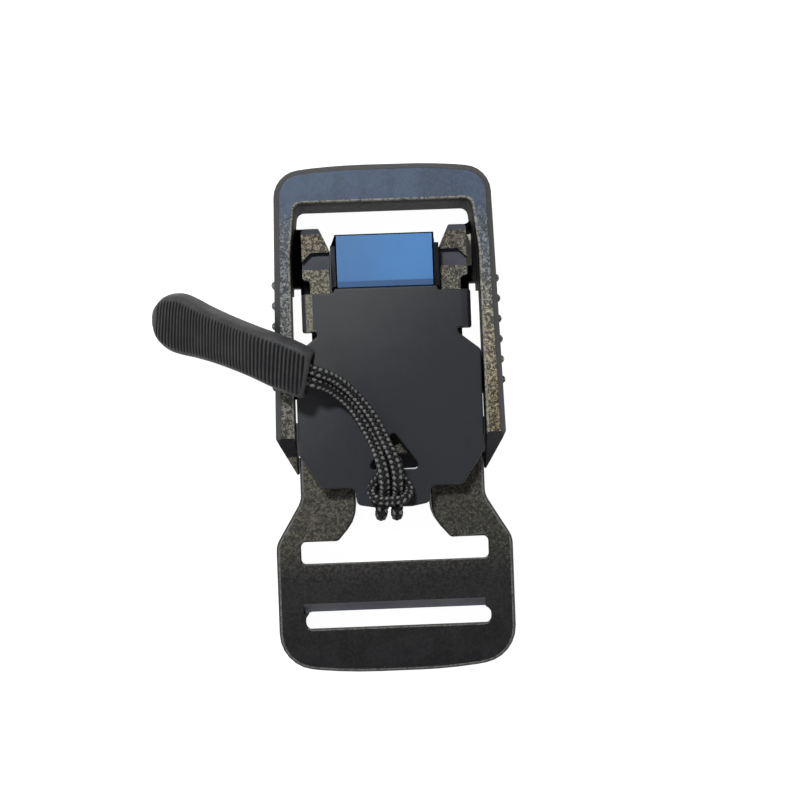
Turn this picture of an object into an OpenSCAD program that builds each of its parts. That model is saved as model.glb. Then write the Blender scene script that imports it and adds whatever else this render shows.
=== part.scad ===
// Magnetic side-frame buckle for 25 mm webbing, fastened and lying on its back.
// +Y points to the fixed strap slot, +Z away from the surface that it lies on.

/* [Frame] */
// Height of the frame's rails and top bar
frame_h = 8.6; // [8.4:0.1:9.2]
// Half the frame's width at its top corners
frame_top_half = 15.35; // [15.2:0.05:15.5]
// Half the frame's width where the rails start to taper off
frame_low_half = 16.25; // [16.1:0.05:16.4]
// Half the clear width between the rails, beside the release plate
rail_gap_half = 13.5; // [13.4:0.05:13.6]
// Depth of the top bar from its outer edge to the strap slot
top_bar_d = 5.3; // [5:0.1:5.6]
// Distance between the grip ribs on each rail
rib_pitch = 2.88; // [2.6:0.02:2.9]
// Number of grip ribs on each rail
rib_count = 6; // [4:1:6]
// Radius of a grip rib
rib_r = 0.6; // [0.5:0.05:0.7]
// Width of the chamfer round the frame's outer top edge
chamfer = 0.8; // [0.6:0.05:0.9]

/* [Ladder lock] */
// Thickness of the ladder lock
ladder_h = 5.6; // [5.2:0.1:5.6]
// Half the width of the ladder lock's body
ladder_half = 16.95; // [16.8:0.05:17.1]
// Half the width of its neck, between the ends of the rails
neck_half = 13.2; // [12.9:0.1:13.2]
// Half the length of the upper webbing slot
upper_slot_half = 13.35; // [13:0.05:13.5]
// Half the length of the lower webbing slot
lower_slot_half = 13.2; // [13:0.05:13.5]
// Half the width of the gap in the middle of the neck
gap_half = 5.35; // [5.3:0.05:5.6]

/* [Release plate] */
// Thickness of the release plate
plate_t = 2.2; // [2:0.1:2.2]
// Half the width of the plate's body
plate_half = 13.1; // [12.8:0.1:13.1]
// Half the width of the plate across its ears
ear_half = 12; // [11.6:0.1:12]
// Half the base of the three-cornered cord hole
hole_half = 3.8; // [3.6:0.1:3.9]

/* [Magnet] */
// Half the width of the blue magnet face
face_half = 6.8; // [6.7:0.1:6.9]
// Length of the blue magnet face along the buckle
face_len = 7.35; // [7.2:0.05:7.5]

/* [Cord and pull tab] */
// Diameter of the braided cord where nothing presses on it
cord_d = 1.6; // [1.4:0.05:1.6]
// Roll of the pull tab about its own length, in degrees
tab_roll = 25; // [20:1:27]
// Direction of the pull tab at its mouth, seen from above, in degrees
tab_heading = 154; // [152:1:155]

/* [Hidden] */

// Half of the buckle's length: its outline reaches as far up as down
half_len = 36;
// A cut reaches this far past the surface that it opens
over = 1;
// Gap between pieces that lie on each other
gap = 0.2;
// Angle between the points of a rounded corner, in degrees
corner_step = 15;
// A bowed edge is straight between points this many to a half, and those in the round corner are left out
bow_steps = 6;
bow_rows = 4;
// Corner radii of the small, usual and soft corners
small_r = 0.3;
usual_r = 0.5;
soft_r = 0.8;

// The frame's side runs from its top corner to the start of the taper
side_top_y = 31.5;
taper_y = -2.2;
rail_tip = [13.6, -7.5];
// How far the top edge drops from its middle to its corners, and the corners' radius
top_drop = 0.9;
top_corner_r = 3.9;
slot_y = half_len - top_bar_d;
// The rails' inner sides, as half widths at three places along the buckle
rail_in_y = [5, 23.5];
rail_in_half = [13.27, 12.45];
// Beside the plate the rails are cut back on the inside, up to this height
rail_relief = 0.4;
relief_h = 4.3;
relief_y = [0, 18.5];
slot_corner_r = 1.1;
// The rails end in a slope, from the top face down to this height at their tips
tip_h = 4;
rib_first_y = 5.1;
rib_low = 0.8;
rib_high = 7.1;
rib_sunk = 0.15;
// A cross web behind the tongue ties the rails together
web_h = 2;
web_y = [3.4, 9.4];
// A low ledge runs along each rail behind the prongs
ledge_in = 10.7;
ledge_y = [19.6, 28.1];
// A narrower foot carries each ledge on towards the plate's ear
ledge_foot_half = 12.25;
ledge_foot_y = 18.5;
ledge_corner_r = 1;
slot_end_half = 13.05;
// The ends of the strap slot lie a little to one side at the back
slot_x = -0.3;

// The neck widens into shoulders, and the body ends in round corners and a bowed edge
shoulder_y = [-11.2, -17.4];
shoulder_r = 3;
low_corner_r = 5.3;
low_drop = 1.35;
// The tongue passes over the web, under the plate, and ends in two prongs
tongue_low = web_h + gap;
tongue_half = 12.9;
tongue_root_y = -5;
tongue_taper_y = 6.6;
waist_y = [8.6, 20.1];
prong_root_y = 20.4;
waist_half = 10.75;
prong_half = 11.8;
prong_in = 7.9;
prong_y = 27.65;
prong_cut = [9.3, 24.6];
crotch_y = 17.4;
// The prongs' tips slope down, and a pocket crosses each prong
tip_slope_y = 26.75;
tip_slope_z = 4.2;
pocket_y = [21.7, 24.1];
pocket_slant = 1.3;
pocket_d = 0.7;
// The gap in the neck runs from under the plate to the upper slot and flares there
gap_top_y = -5.05;
gap_top_r = 1.5;
flare_y = -14;
flare_half = 8.05;
flare_r = 5;
// A thin web closes the back of the gap under the cord hole
neck_web_y = [-8.3, -4];
// The slots' lower sides and ends lean outwards below, by this much for each mm of depth
slot_lean = 0.14;
upper_slot_y = [-20.15, -17.1];
upper_slot_r = 0.7;
lower_slot_x = 0.2;
lower_slot_y = [-29.55, -27.15];
lower_slot_r = 1.05;
// A sloping facet along the lower edge of the middle bar
facet_y = [-26.75, -25.9];
facet_d = 0.8;
facet_x = -0.3;
facet_half = 13.05;

// The plate lies over the tongue
plate_low = ladder_h + 0.3;
plate_top = plate_low + plate_t;
lip_half = 7.3;
lip_y = 18.65;
ear_y = [12.65, 18.05];
notch_half = 9.95;
notch_y = 12;
body_y = [-4.6, 9.5];
plate_end_y = -9.5;
plate_corner_half = 9.9;
bar_half = [5.4, 5.1, 2.6];
bar_end_y = -12.35;
bar_rise = 0.45;
hole_x = 0.3;
hole_y = [-6.93, -1.7];
hole_r = 0.5;
// The ears slope off to the sides, first gently and then steeply: distances in from the side and down
ear_gentle = [1.6, 0.4];
ear_steep = [0.55, 1.3];

// The magnet's carrier stands between the prongs and reaches under the plate's lip
carrier_half = 7.7;
carrier_y = [17.75, 26.4];
// The carrier is narrower at its far end
carrier_far_half = 7.05;
carrier_far_y = 24.9;
carrier_rim_y = 18.75;
carrier_z = [1, 6.9];
face_y = 18.85;
face_z = [6.3, 7.1];
face_gap = 0.05;

// The cord's route, from the pull tab to the hitch on the plate's bar and back.
// Each point ends with the cord's thickness there as a share of its diameter: the hitch packs it
// at the bar and draws it thin in the loop.
cord_route = [
    [-10.48, 7.09, 12.83, 0.98],
    [-10.04, 6.87, 12.89, 0.98],
    [-9.2, 6.58, 12.8, 0.98],
    [-8.2, 6.18, 12.25, 0.98],
    [-7.05, 5.5, 11.45, 0.98],
    [-5.45, 4.15, 10.4, 0.98],
    [-4, 2.5, 9.85, 0.98],
    [-2.7, 0.7, 9.65, 0.98],
    [-1.65, -1.15, 9.7, 1],
    [-0.75, -3.25, 10.1, 1.03],
    [0.1, -5.3, 10.55, 1.05],
    [0.5, -7, 10.62, 1.05],
    [0.62, -8.35, 10.55, 1.05],
    [0.62, -9.4, 10, 1.05],
    [0.57, -10.4, 9.15, 1.05],
    [0.5, -11.6, 8.99, 1.05],
    [0.45, -12.9, 8.95, 1.06],
    [0.43, -13.5, 7, 1.08],
    [0.45, -12.95, 5.05, 1.07],
    [0.5, -11.4, 4.97, 1.06],
    [0.62, -7.7, 4.97, 1.05],
    [0.68, -6.1, 5.35, 1.02],
    [0.7, -5.9, 7, 1],
    [0.73, -6.1, 8.4, 0.92],
    [0.8, -6.85, 8.97, 0.86],
    [0.92, -7.65, 8.9, 0.86],
    [1.32, -8.35, 8.87, 0.86],
    [1.9, -8.95, 8.85, 0.84],
    [2.25, -9.75, 9.05, 0.83],
    [2.08, -10.5, 9.6, 0.83],
    [1.5, -11.05, 10.35, 0.83],
    [0.55, -11.25, 10.62, 0.83],
    [-0.4, -11.25, 10.64, 0.83],
    [-1.35, -11.25, 10.62, 0.83],
    [-2.3, -11.05, 10.35, 0.83],
    [-2.88, -10.5, 9.6, 0.83],
    [-3.05, -9.75, 9.05, 0.83],
    [-2.7, -8.95, 8.85, 0.84],
    [-2.12, -8.35, 8.87, 0.86],
    [-1.72, -7.65, 8.9, 0.86],
    [-1.6, -6.85, 8.97, 0.86],
    [-1.53, -6.1, 8.4, 0.92],
    [-1.5, -5.9, 7, 1],
    [-1.5, -6.1, 5.35, 1.02],
    [-1.55, -7.7, 4.97, 1.05],
    [-1.65, -11.4, 4.97, 1.06],
    [-1.78, -12.95, 5.05, 1.07],
    [-1.8, -13.5, 7, 1.08],
    [-1.68, -12.9, 8.95, 1.06],
    [-1.4, -11.6, 8.99, 1.05],
    [-1.22, -10.4, 9.15, 1.05],
    [-1.14, -9.4, 10, 1.05],
    [-1.17, -8.35, 10.55, 1.05],
    [-1.35, -7, 10.55, 1.05],
    [-1.72, -5.5, 10.3, 1.05],
    [-2.3, -3.8, 9.6, 1.03],
    [-3, -2.2, 9.1, 1],
    [-3.95, -0.35, 8.95, 0.98],
    [-5.15, 1.65, 8.97, 0.98],
    [-6.65, 3.3, 9.6, 0.98],
    [-8.05, 4.42, 10.6, 0.98],
    [-9.1, 5, 11.5, 0.98],
    [-9.72, 5.16, 11.97, 0.98],
    [-10.39, 5.37, 12.22, 0.98],
    [-10.84, 5.59, 12.16, 0.98]
];
CORD_SHARE = 3;
cord_sides = 8;
cord_steps = 2;

// The pull tab passes over the rail, slopes down and levels out where it lies on the surface.
// Each row: distance from the mouth and slope below the level there
tab_mouth = [-10.95, 6.48, 12.46];
tab_fall = [[0, 7], [5, 16], [10, 31], [18, 31], [27, 12]];
// How much its direction turns over its length, and how much its mouth leans over this length
tab_veer = 3.8;
tab_lean = 8;
tab_lean_s = 15;
// Each row: distance from the mouth, half width and half thickness
TAB_S = 0;
TAB_W = 1;
TAB_T = 2;
tab_rows = [
    [0, 3.3, 1.15], [0.25, 3.42, 1.4], [1.1, 3.52, 1.72], [4.5, 3.6, 1.77], [8.5, 3.45, 1.81],
    [12.5, 3.47, 1.84], [15.5, 3.6, 1.86], [18.5, 3.85, 1.88], [21, 4.2, 1.89], [23, 4.3, 1.84],
    [24.7, 3.85, 1.7], [26, 3, 1.4], [26.9, 1.6, 0.9], [27.3, 0.7, 0.4]
];
tab_len = tab_rows[len(tab_rows) - 1][TAB_S];
tab_sides = 16;
// Power of the section's outline: 2 is an ellipse, more is squarer
tab_power = 4;

function unit(v) = v / norm(v);

function turned(v, a) = [v[0] * cos(a) - v[1] * sin(a), v[0] * sin(a) + v[1] * cos(a)];

function flat(p) = [p[0], p[1]];

function place(p) = [p[0], p[1], p[2]];

// An outline lifted to a height
function raised(outline, z) = [for (p = outline) [p[0], p[1], z]];

// The points that round the corner at b, between a and c
function corner(a, b, c, r) =
    r == 0 ? [b] : let (
        u = unit(a - b),
        w = unit(c - b),
        half = acos(u * w) / 2,
        middle = b + unit(u + w) * r / sin(half),
        start = b + u * r / tan(half) - middle,
        sweep = (180 - 2 * half) * (cross(u, start) > 0 ? 1 : -1),
        steps = ceil(abs(sweep) / corner_step)
    ) [for (i = [0:steps]) middle + turned(start, sweep * i / steps)];

// An outline from rows of x, y and corner radius
function rounded(rows) = [
    for (i = [0:len(rows) - 1])
        each corner(
            flat(rows[(i + len(rows) - 1) % len(rows)]),
            flat(rows[i]),
            flat(rows[(i + 1) % len(rows)]),
            rows[i][2]
        )
];

// The rows of a right half, followed by their mirror images
function both(half) = concat(half, [for (i = [len(half) - 1:-1:0]) [-half[i][0], half[i][1], half[i][2]]]);

// Rows along a bowed edge, from beside its round corner to the middle
function bowed(half, y, drop) =
    [for (i = [bow_rows:-1:1]) [half * i / bow_steps, y - drop * pow((i - 1) / (bow_steps - 1), 2), 0]];

// The frame's half width at a place along the buckle
function side_half(y) =
    frame_low_half + (frame_top_half - frame_low_half) * (y - taper_y) / (side_top_y - taper_y);

// A prism across the buckle, from an outline in y and z
module across(half, outline) {
    rotate([90, 0, 90])
        translate([0, 0, -half])
            linear_extrude(2 * half) polygon(outline);
}

module slab(low, high) {
    translate([0, 0, low]) linear_extrude(high - low) children();
}

// A block centred across the buckle
module block(half, y, z) {
    slab(z[0], z[1]) translate([-half, y[0]]) square([2 * half, y[1] - y[0]]);
}

// The frame's outline, or a smaller one that lies this far inside it
function frame_edge(inside) =
    rounded(both(concat(
        [
            [rail_tip[0] - inside, rail_tip[1], 0],
            [frame_low_half - inside, taper_y, usual_r],
            [
                side_half(half_len - top_drop) - inside,
                half_len - top_drop - inside,
                top_corner_r - inside
            ]
        ],
        bowed(frame_top_half - inside, half_len - inside, top_drop)
    )));

module frame_outline() {
    polygon(frame_edge(0));
}

module frame_window() {
    polygon(rounded(both([
        [rail_gap_half, rail_tip[1] - over, 0],
        [rail_gap_half, rail_in_y[0], 0],
        [rail_in_half[0], rail_in_y[1], 0],
        [rail_in_half[1], slot_y, slot_corner_r]
    ])));
}

// The low ledges behind the prongs, which round the ends of the strap slot at the back
module rail_ledges() {
    intersection() {
        frame_outline();
        difference() {
            union() {
                translate([-frame_low_half, ledge_y[0]])
                    square([2 * frame_low_half, ledge_y[1] + 2 * ledge_corner_r - ledge_y[0]]);
                translate([-ledge_foot_half, ledge_foot_y])
                    square([2 * ledge_foot_half, ledge_y[1] - ledge_foot_y]);
            }
            translate([-ledge_in, ledge_foot_y - over]) square([2 * ledge_in, slot_y - ledge_foot_y]);
            translate([slot_x, 0])
                polygon(rounded(both([
                    [slot_end_half, ledge_y[1], ledge_corner_r],
                    [slot_end_half, slot_y, 0]
                ])));
        }
    }
}

module grip_rib(side, y) {
    translate([side * (side_half(y) - rib_sunk), y, rib_low])
        cylinder(r = rib_r, h = rib_high - rib_low, $fn = 24);
}

module frame() {
    color([0.3, 0.32, 0.36]) difference() {
        union() {
            difference() {
                union() {
                    slab(0, frame_h - chamfer) frame_outline();
                    skin([raised(frame_edge(0), frame_h - chamfer), raised(frame_edge(chamfer), frame_h)]);
                }
                slab(-over, frame_h + over) frame_window();
                block(rail_gap_half + rail_relief, relief_y, [-over, relief_h]);
            }
            slab(0, web_h) rail_ledges();
            block(rail_gap_half + over, web_y, [0, web_h]);
            for (side = [-1, 1], i = [0:rib_count - 1]) grip_rib(side, rib_first_y + i * rib_pitch);
        }
        across(frame_low_half + over, [
            [taper_y, frame_h],
            [rail_tip[1], tip_h],
            [rail_tip[1] - over, tip_h],
            [rail_tip[1] - over, frame_h + over],
            [taper_y, frame_h + over]
        ]);
    }
}

module ladder_body() {
    edge = bowed(ladder_half, -half_len, -low_drop);
    polygon(rounded(both(concat(
        [for (i = [len(edge) - 1:-1:0]) edge[i]],
        [
            [ladder_half, -half_len + low_drop, low_corner_r],
            [ladder_half, shoulder_y[1], shoulder_r],
            [neck_half, shoulder_y[0], shoulder_r],
            [neck_half, tongue_root_y, 0]
        ]
    ))));
}

module tongue_outline() {
    polygon(rounded(both([
        [tongue_half, tongue_root_y - over, 0],
        [tongue_half, tongue_taper_y, 0],
        [waist_half, waist_y[0], usual_r],
        [waist_half, waist_y[1], usual_r],
        [prong_half, prong_root_y, small_r],
        [prong_half, prong_y, usual_r],
        [prong_cut[0], prong_y, small_r],
        [prong_in, prong_cut[1], small_r],
        [prong_in, crotch_y, usual_r]
    ])));
}

module neck_gap() {
    polygon(rounded(both([
        [flare_half + over, upper_slot_y[1] - over, 0],
        [flare_half + over, upper_slot_y[1], 0],
        [flare_half, upper_slot_y[1], soft_r],
        [gap_half, flare_y, flare_r],
        [gap_half, gap_top_y, gap_top_r]
    ])));
}

// A slot's outline at a height
function slot_edge(half, y, r, z) =
    let (out = slot_lean * (ladder_h - z))
    raised(rounded(both([[half + out, y[0] - out, r], [half + out, y[1], r]])), z);

// What is cut for a slot, with its leaning sides
module slot_cut(half, y, r) {
    skin([for (z = [-over, ladder_h + over]) slot_edge(half, y, r, z)]);
}

module prong_pocket() {
    slab(ladder_h - pocket_d, ladder_h + over)
        polygon([
            [prong_in - over, pocket_y[0]],
            [prong_half + over, pocket_y[0]],
            [prong_half + over, pocket_y[1] - pocket_slant - over],
            [prong_half - pocket_slant, pocket_y[1]],
            [prong_in - over, pocket_y[1]]
        ]);
}

module ladder_lock() {
    color([0.17, 0.165, 0.155]) difference() {
        union() {
            slab(0, ladder_h) ladder_body();
            slab(tongue_low, ladder_h) tongue_outline();
        }
        difference() {
            slab(-over, ladder_h + over) neck_gap();
            block(gap_half + over, neck_web_y, [-over, web_h]);
        }
        slot_cut(upper_slot_half, upper_slot_y, upper_slot_r);
        translate([lower_slot_x, 0, 0]) slot_cut(lower_slot_half, lower_slot_y, lower_slot_r);
        across(prong_half + over, [
            [tip_slope_y, ladder_h],
            [prong_y + over, tip_slope_z],
            [prong_y + over, ladder_h + over],
            [tip_slope_y, ladder_h + over]
        ]);
        translate([facet_x, 0, 0]) across(facet_half, [
            [facet_y[0], ladder_h - facet_d],
            [facet_y[1], ladder_h],
            [facet_y[1], ladder_h + over],
            [lower_slot_y[1] - gap, ladder_h + over],
            [lower_slot_y[1] - gap, ladder_h - facet_d]
        ]);
        for (side = [0, 1]) mirror([side, 0, 0]) prong_pocket();
    }
}

module plate_outline() {
    polygon(rounded(both([
        [bar_half[2], bar_end_y, 0],
        [bar_half[1], bar_end_y + bar_rise, soft_r],
        [bar_half[0], plate_end_y, soft_r],
        [plate_corner_half, plate_end_y, usual_r],
        [plate_half, body_y[0], soft_r],
        [plate_half, body_y[1], soft_r],
        [notch_half, notch_y, small_r],
        [notch_half, ear_y[0], small_r],
        [ear_half, ear_y[0], small_r],
        [ear_half, ear_y[1], small_r],
        [lip_half, ear_y[1], small_r],
        [lip_half, lip_y, small_r]
    ])));
}

module cord_hole() {
    polygon(rounded([
        [hole_x + hole_half, hole_y[0], hole_r],
        [hole_x, hole_y[1], hole_r],
        [hole_x - hole_half, hole_y[0], hole_r]
    ]));
}

// What is cut from an ear, which leaves its slope
module ear_cut() {
    translate([0, ear_y[1] + over, 0])
        rotate([90, 0, 0])
            linear_extrude(ear_y[1] + over - ear_y[0] + gap)
                polygon([
                    [ear_half - ear_gentle[0], plate_top],
                    [ear_half - ear_gentle[0], plate_top + over],
                    [ear_half + over, plate_top + over],
                    [ear_half + over, plate_top - ear_steep[1]],
                    [ear_half, plate_top - ear_steep[1]],
                    [ear_half - ear_steep[0], plate_top - ear_gentle[1]]
                ]);
}

module release_plate() {
    color([0.21, 0.22, 0.23]) difference() {
        slab(plate_low, plate_top) difference() {
            plate_outline();
            cord_hole();
        }
        for (side = [0, 1]) mirror([side, 0, 0]) ear_cut();
    }
}

module magnet_carrier() {
    color([0.1, 0.1, 0.12]) difference() {
        union() {
            block(carrier_half, [carrier_y[0], carrier_far_y], [carrier_z[0], plate_low - gap]);
            block(carrier_half, [carrier_rim_y, carrier_far_y], carrier_z);
            block(carrier_far_half, [carrier_rim_y, carrier_y[1]], carrier_z);
        }
        block(
            face_half + face_gap,
            [face_y - face_gap, face_y + face_len + face_gap],
            [face_z[0] - face_gap, carrier_z[1] + over]
        );
    }
}

module magnet_face() {
    color([0.33, 0.53, 0.75]) block(face_half, [face_y, face_y + face_len], face_z);
}

// A point of a smooth curve through the route, between its points i and i + 1
function eased(route, i, t) =
    let (
        n = len(route) - 1,
        a = route[max(i - 1, 0)],
        b = route[i],
        c = route[min(i + 1, n)],
        d = route[min(i + 2, n)]
    ) b + t * ((c - a) + t * ((2 * a - 5 * b + 4 * c - d) + t * (3 * b - a - 3 * c + d))) / 2;

function smooth_route(route, steps) = concat(
    [for (i = [0:len(route) - 2], k = [0:steps - 1]) eased(route, i, k / steps)],
    [route[len(route) - 1]]
);

function headings(line) = [
    for (i = [0:len(line) - 1])
        unit(place(line[min(i + 1, len(line) - 1)] - line[max(i - 1, 0)]))
];

// A direction square to each heading, turning as little as possible from one to the next
function sides(heads, first) = [
    for (
        i = 0, s = unit(first - (first * heads[0]) * heads[0]);
        i < len(heads);
        i = i + 1,
        s = i < len(heads) ? unit(s - (s * heads[i]) * heads[i]) : s
    ) s
];

// A closed solid through rings that each have the same number of points
module skin(rings) {
    n = len(rings[0]);
    last = len(rings) - 1;
    polyhedron(
        points = [for (ring = rings) each ring],
        faces = concat(
            [[for (k = [0:n - 1]) k]],
            [for (j = [0:last - 1], k = [0:n - 1])
                [j * n + k, (j + 1) * n + k, (j + 1) * n + (k + 1) % n, j * n + (k + 1) % n]],
            [[for (k = [n - 1:-1:0]) last * n + k]]
        ),
        convexity = 10
    );
}

module cord() {
    line = smooth_route(cord_route, cord_steps);
    heads = headings(line);
    ups = sides(heads, [0, 0, 1]);
    color([0.12, 0.12, 0.12]) skin([
        for (j = [0:len(line) - 1])
            [for (k = [0:cord_sides - 1])
                let (
                    a = 360 * k / cord_sides,
                    out = cos(a) * ups[j] + sin(a) * cross(ups[j], heads[j])
                )
                place(line[j]) + line[j][CORD_SHARE] * cord_d / 2 * out]
    ]);
}

// The pull tab's direction seen from above, at a distance from its mouth
function tab_turn(s) = tab_heading + tab_veer * s / tab_len;

function tab_head(s) =
    let (fall = lookup(s, tab_fall))
    [cos(tab_turn(s)) * cos(fall), sin(tab_turn(s)) * cos(fall), -sin(fall)];

// The middle of the pull tab at a distance from its mouth, stepped along its bend
function tab_middle(s) =
    let (steps = 20)
    s == 0 ? tab_mouth : tab_mouth + s / steps * [
        for (i = 0, sum = [0, 0, 0]; i <= steps; sum = sum + tab_head(s * (i + 0.5) / steps), i = i + 1) sum
    ][steps];

function signed_root(v, power) = sign(v) * pow(abs(v), 2 / power);

module pull_tab() {
    color([0.17, 0.165, 0.16]) skin([
        for (row = tab_rows)
            let (
                s = row[TAB_S],
                head = tab_head(s),
                level = [-sin(tab_turn(s)), cos(tab_turn(s)), 0],
                wide = cos(tab_roll) * level - sin(tab_roll) * cross(head, level),
                thick = cross(head, wide),
                leaning = wide - tan(tab_lean) * max(0, 1 - s / tab_lean_s) * head
            )
            [for (k = [0:tab_sides - 1])
                let (a = 360 * (k + 0.5) / tab_sides)
                tab_middle(s)
                    + row[TAB_W] * signed_root(cos(a), tab_power) * leaning
                    + row[TAB_T] * signed_root(sin(a), tab_power) * thick]
    ]);
}

frame();
ladder_lock();
magnet_carrier();
magnet_face();
release_plate();
cord();
pull_tab();
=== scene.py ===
"""Looks of a magnetic side-frame buckle with a corded release plate, around its CAD model."""

import logging
from collections.abc import Callable, Sequence
from dataclasses import dataclass
from enum import Enum, IntEnum
from functools import reduce
from math import atan2, copysign, cos, pi, prod, radians, sin, tan, tau
from typing import Protocol

import bmesh
import bpy
from mathutils import Matrix, Vector


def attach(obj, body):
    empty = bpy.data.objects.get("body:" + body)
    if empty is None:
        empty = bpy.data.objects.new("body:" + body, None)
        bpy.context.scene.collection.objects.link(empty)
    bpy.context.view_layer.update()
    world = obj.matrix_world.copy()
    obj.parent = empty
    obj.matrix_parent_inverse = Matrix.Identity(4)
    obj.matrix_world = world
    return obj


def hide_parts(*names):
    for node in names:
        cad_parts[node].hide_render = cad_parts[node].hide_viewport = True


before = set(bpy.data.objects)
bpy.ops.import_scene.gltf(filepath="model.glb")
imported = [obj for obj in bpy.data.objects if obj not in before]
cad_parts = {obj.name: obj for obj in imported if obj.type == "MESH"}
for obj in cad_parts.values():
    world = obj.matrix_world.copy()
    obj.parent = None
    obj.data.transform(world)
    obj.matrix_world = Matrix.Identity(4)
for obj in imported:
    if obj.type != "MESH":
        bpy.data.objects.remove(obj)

LOG = logging.getLogger("buckle")
MM = 0.001
UP = Vector((0, 0, 1))
CORNER = radians(30)  # the smallest angle between faces that is rounded off
FLAT = 0.98  # a face whose normal rises more than this lies flat
STEEP = 0.2  # and one whose normal rises less than this is a wall
HAIR_MM = 0.01  # a difference in place that doesn't count
SLACK_MM = 0.05  # how far below a bevel's foot its faces are still taken for it
LOW_MM = 0.02  # edges lower than this lie on the floor and stay sharp

Pair = tuple[float, float]
Point = tuple[float, float, float]
Row = tuple[float, float, float, float]
Colour = tuple[float, float, float]
Band = tuple[float, Colour]
Node = bpy.types.Node
Socket = bpy.types.NodeSocket
Material = bpy.types.Material
Piece = bpy.types.Object
Feed = Socket | float | Sequence[float]
Mesh = bmesh.types.BMesh
Edge = bmesh.types.BMEdge
Face = bmesh.types.BMFace


class Zone(IntEnum):
    """Which finish of a moulded piece a face takes."""

    GRAINED = 0
    SMOOTH = 1
    WALL = 2
    # a painted highlight along an edge
    EDGE_HIGHLIGHT = 3
    SLOPE = 4
    # a painted highlight on a face
    LIT = 5
    TIP = 6


class Twist(Enum):
    """The way a yarn winds round its cord."""

    RIGHT = 1
    LEFT = -1


def fill(node: Node, **values: float | Sequence[float]) -> None:
    """Sets constants on a node's input sockets, named with _ for a space."""
    for key, value in values.items():
        node.inputs[key.replace("_", " ")].default_value = value


class Shader:
    """A material's nodes, with short ways to add and join them."""

    def __init__(self, name: str) -> None:
        """Starts a material with one principled surface.

        Args:
            name: The material's name.
        """
        self.material = bpy.data.materials.new(name)
        self.material.use_nodes = True
        self.tree = self.material.node_tree
        self.surface = self.tree.nodes["Principled BSDF"]
        self.place = self.add("ShaderNodeTexCoord").outputs["Object"]

    def add(self, kind: str, *feeds: Feed, **settings: object) -> Node:
        """Adds a node.

        Args:
            kind: The node's Blender type.
            feeds: What goes into its first inputs, in order.
            settings: Properties to set on it.

        Returns:
            The new node.
        """
        node = self.tree.nodes.new(kind)
        for key, value in settings.items():
            setattr(node, key, value)
        for socket, feed in zip(node.inputs, feeds):
            self.join(feed, socket)
        return node

    def join(self, feed: Feed, target: Socket) -> None:
        """Feeds an input from an output or with a constant.

        Args:
            feed: The output or the constant.
            target: The input.
        """
        if isinstance(feed, Socket):
            self.tree.links.new(feed, target)
        else:
            target.default_value = feed

    def noise(
        self, size_mm: float, detail: float = 2, roughness: float = 0.5, warp: float = 0
    ) -> Socket:
        """Makes a cloudy pattern on object coordinates.

        Args:
            size_mm: Size of its spots.
            detail: How many finer layers it has.
            roughness: How strong they are.
            warp: How much it is drawn out into threads.

        Returns:
            Its value, from 0 to 1.
        """
        node = self.add("ShaderNodeTexNoise", self.place)
        scale = 1 / (size_mm * MM)
        fill(node, Scale=scale, Detail=detail, Roughness=roughness, Distortion=warp)
        return node.outputs["Fac"]

    def ramp(self, value: Socket, low: float, high: float, out: Pair = (0, 1)) -> Socket:
        """Eases a value between two limits.

        Args:
            value: What is eased.
            low: Where the result leaves its first limit.
            high: Where it reaches its second.
            out: The two limits of the result.

        Returns:
            The eased value.
        """
        kind, easing = "ShaderNodeMapRange", "SMOOTHSTEP"
        return self.add(kind, value, low, high, *out, interpolation_type=easing).outputs["Result"]

    def blend(self, share: Socket, first: Colour | Socket, second: Colour | Socket) -> Socket:
        """Mixes two colours.

        Args:
            share: How much of the second there is.
            first: A colour or a colour output.
            second: A colour or a colour output.

        Returns:
            The mixed colour.
        """
        node = self.add("ShaderNodeMix", share, data_type="RGBA")
        for key, colour in (("A", first), ("B", second)):
            socket = next(s for s in node.inputs if s.name == key and s.type == "RGBA")
            self.join((*colour, 1) if isinstance(colour, tuple) else colour, socket)
        return next(s for s in node.outputs if s.type == "RGBA")

    def sums(self, kind: str, *values: Feed) -> Socket:
        """Reckons with one or two values, by an operation of the Math node."""
        return self.add("ShaderNodeMath", *values, operation=kind).outputs[0]

    def where(self, axis: str) -> Socket:
        """One of the object coordinates, in mm."""
        parts = self.add("ShaderNodeSeparateXYZ", self.place)
        return self.sums("MULTIPLY", parts.outputs[axis], 1 / MM)

    def tint(self, colour: Socket, by: Colour) -> Socket:
        """Multiplies a colour by another."""
        return self.add("ShaderNodeVectorMath", colour, by, operation="MULTIPLY").outputs[0]

    def along(self, axis: str, stops: Sequence[Band]) -> Socket:
        """Runs through colours along an axis of the buckle.

        Args:
            axis: X, Y or Z.
            stops: Places in mm, in order, and the colour at each.

        Returns:
            The colour.
        """
        low, high = stops[0][0], stops[-1][0]
        node = self.add("ShaderNodeValToRGB")
        marks = node.color_ramp.elements
        marks[0].color = (*stops[0][1], 1)
        marks[1].color = (*stops[-1][1], 1)
        for place, colour in stops[1:-1]:
            marks.new((place - low) / (high - low)).color = (*colour, 1)
        share = self.sums("DIVIDE", self.sums("SUBTRACT", self.where(axis), low), high - low)
        self.join(share, node.inputs[0])
        return node.outputs["Color"]

    def finish(
        self, colour: Socket, rough: Socket, height: Socket, depth_mm: float, gloss: float = 0.5
    ) -> Material:
        """Joins up the surface.

        Args:
            colour: Its base colour.
            rough: Its roughness.
            height: The pattern that raises it, from 0 to 1.
            depth_mm: How deep that pattern is.
            gloss: Its specular level.

        Returns:
            The finished material.
        """
        self.join(colour, self.surface.inputs["Base Color"])
        self.join(rough, self.surface.inputs["Roughness"])
        bump = self.add("ShaderNodeBump")
        self.join(depth_mm * MM, bump.inputs["Distance"])
        self.join(height, bump.inputs["Height"])
        self.join(bump.outputs["Normal"], self.surface.inputs["Normal"])
        fill(self.surface, Specular_IOR_Level=gloss)
        return self.material


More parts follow.
